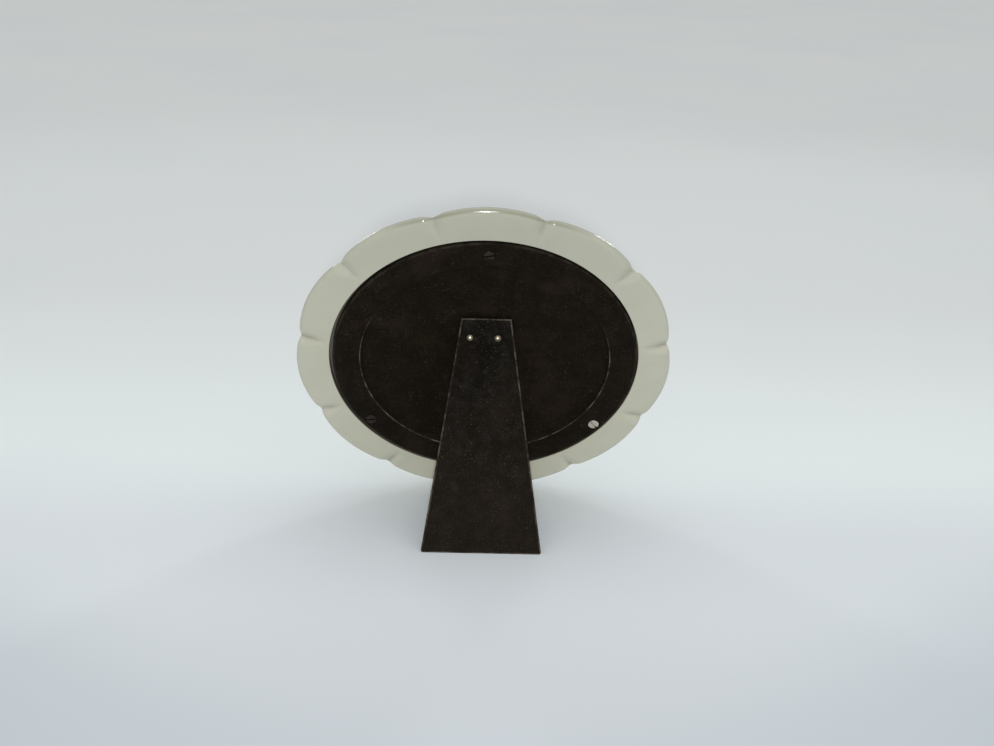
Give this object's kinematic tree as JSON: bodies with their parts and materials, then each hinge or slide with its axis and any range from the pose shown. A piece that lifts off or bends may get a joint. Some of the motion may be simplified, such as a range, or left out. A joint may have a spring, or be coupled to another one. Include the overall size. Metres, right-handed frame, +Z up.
{
  "type": "table-top picture frame",
  "caption": "Round scalloped picture frame with a glass front and a screwed back plate, leaning back on a hinged easel strut.",
  "frame": {"origin": "on the table, at the middle of the footprint of the standing frame", "axes": "+X across the frame, -Y the way that the picture looks, +Z up"},
  "size_m": [0.1794, 0.0845, 0.1636],
  "materials": {
    "cream_rim": "smooth ivory moulding with a soft satin gloss, lightly worn",
    "glass": "clear picture glass with ground edges",
    "picture_card": "plain pale card, bare of any picture",
    "backing_card": "grey-brown pressed card",
    "dark_plate": "very dark brown moulding with a fine grain",
    "dark_screw": "dulled steel with a slot",
    "bright_screw": "brighter plated steel with a slot",
    "hinge_steel": "darkened pressed steel",
    "rivet": "dull aluminium",
    "dark_strut": "very dark brown board with bevelled edges and a few scuffs"
  },
  "bodies": {
    "frame": {"frame_rim": "cream_rim", "glass_pane": "glass", "picture_card": "picture_card", "backing_card": "backing_card", "back_plate": "dark_plate", "plate_screws": "dark_screw", "replacement_screw": "bright_screw", "hinge_fixed_leaf": "hinge_steel", "hinge_pin": "hinge_steel", "leaf_rivets": "rivet"},
    "leg": {"strut": "dark_strut", "hinge_moving_leaf": "hinge_steel", "strut_rivets": "rivet"}
  },
  "joints": [
    {"name": "strut_fold", "type": "hinge", "parent": "frame", "child": "leg", "pos_m": [0.0005, 0.00957, 0.10298], "axis": [-1, 0, 0], "range_deg": [0, 40.4]}
  ]
}
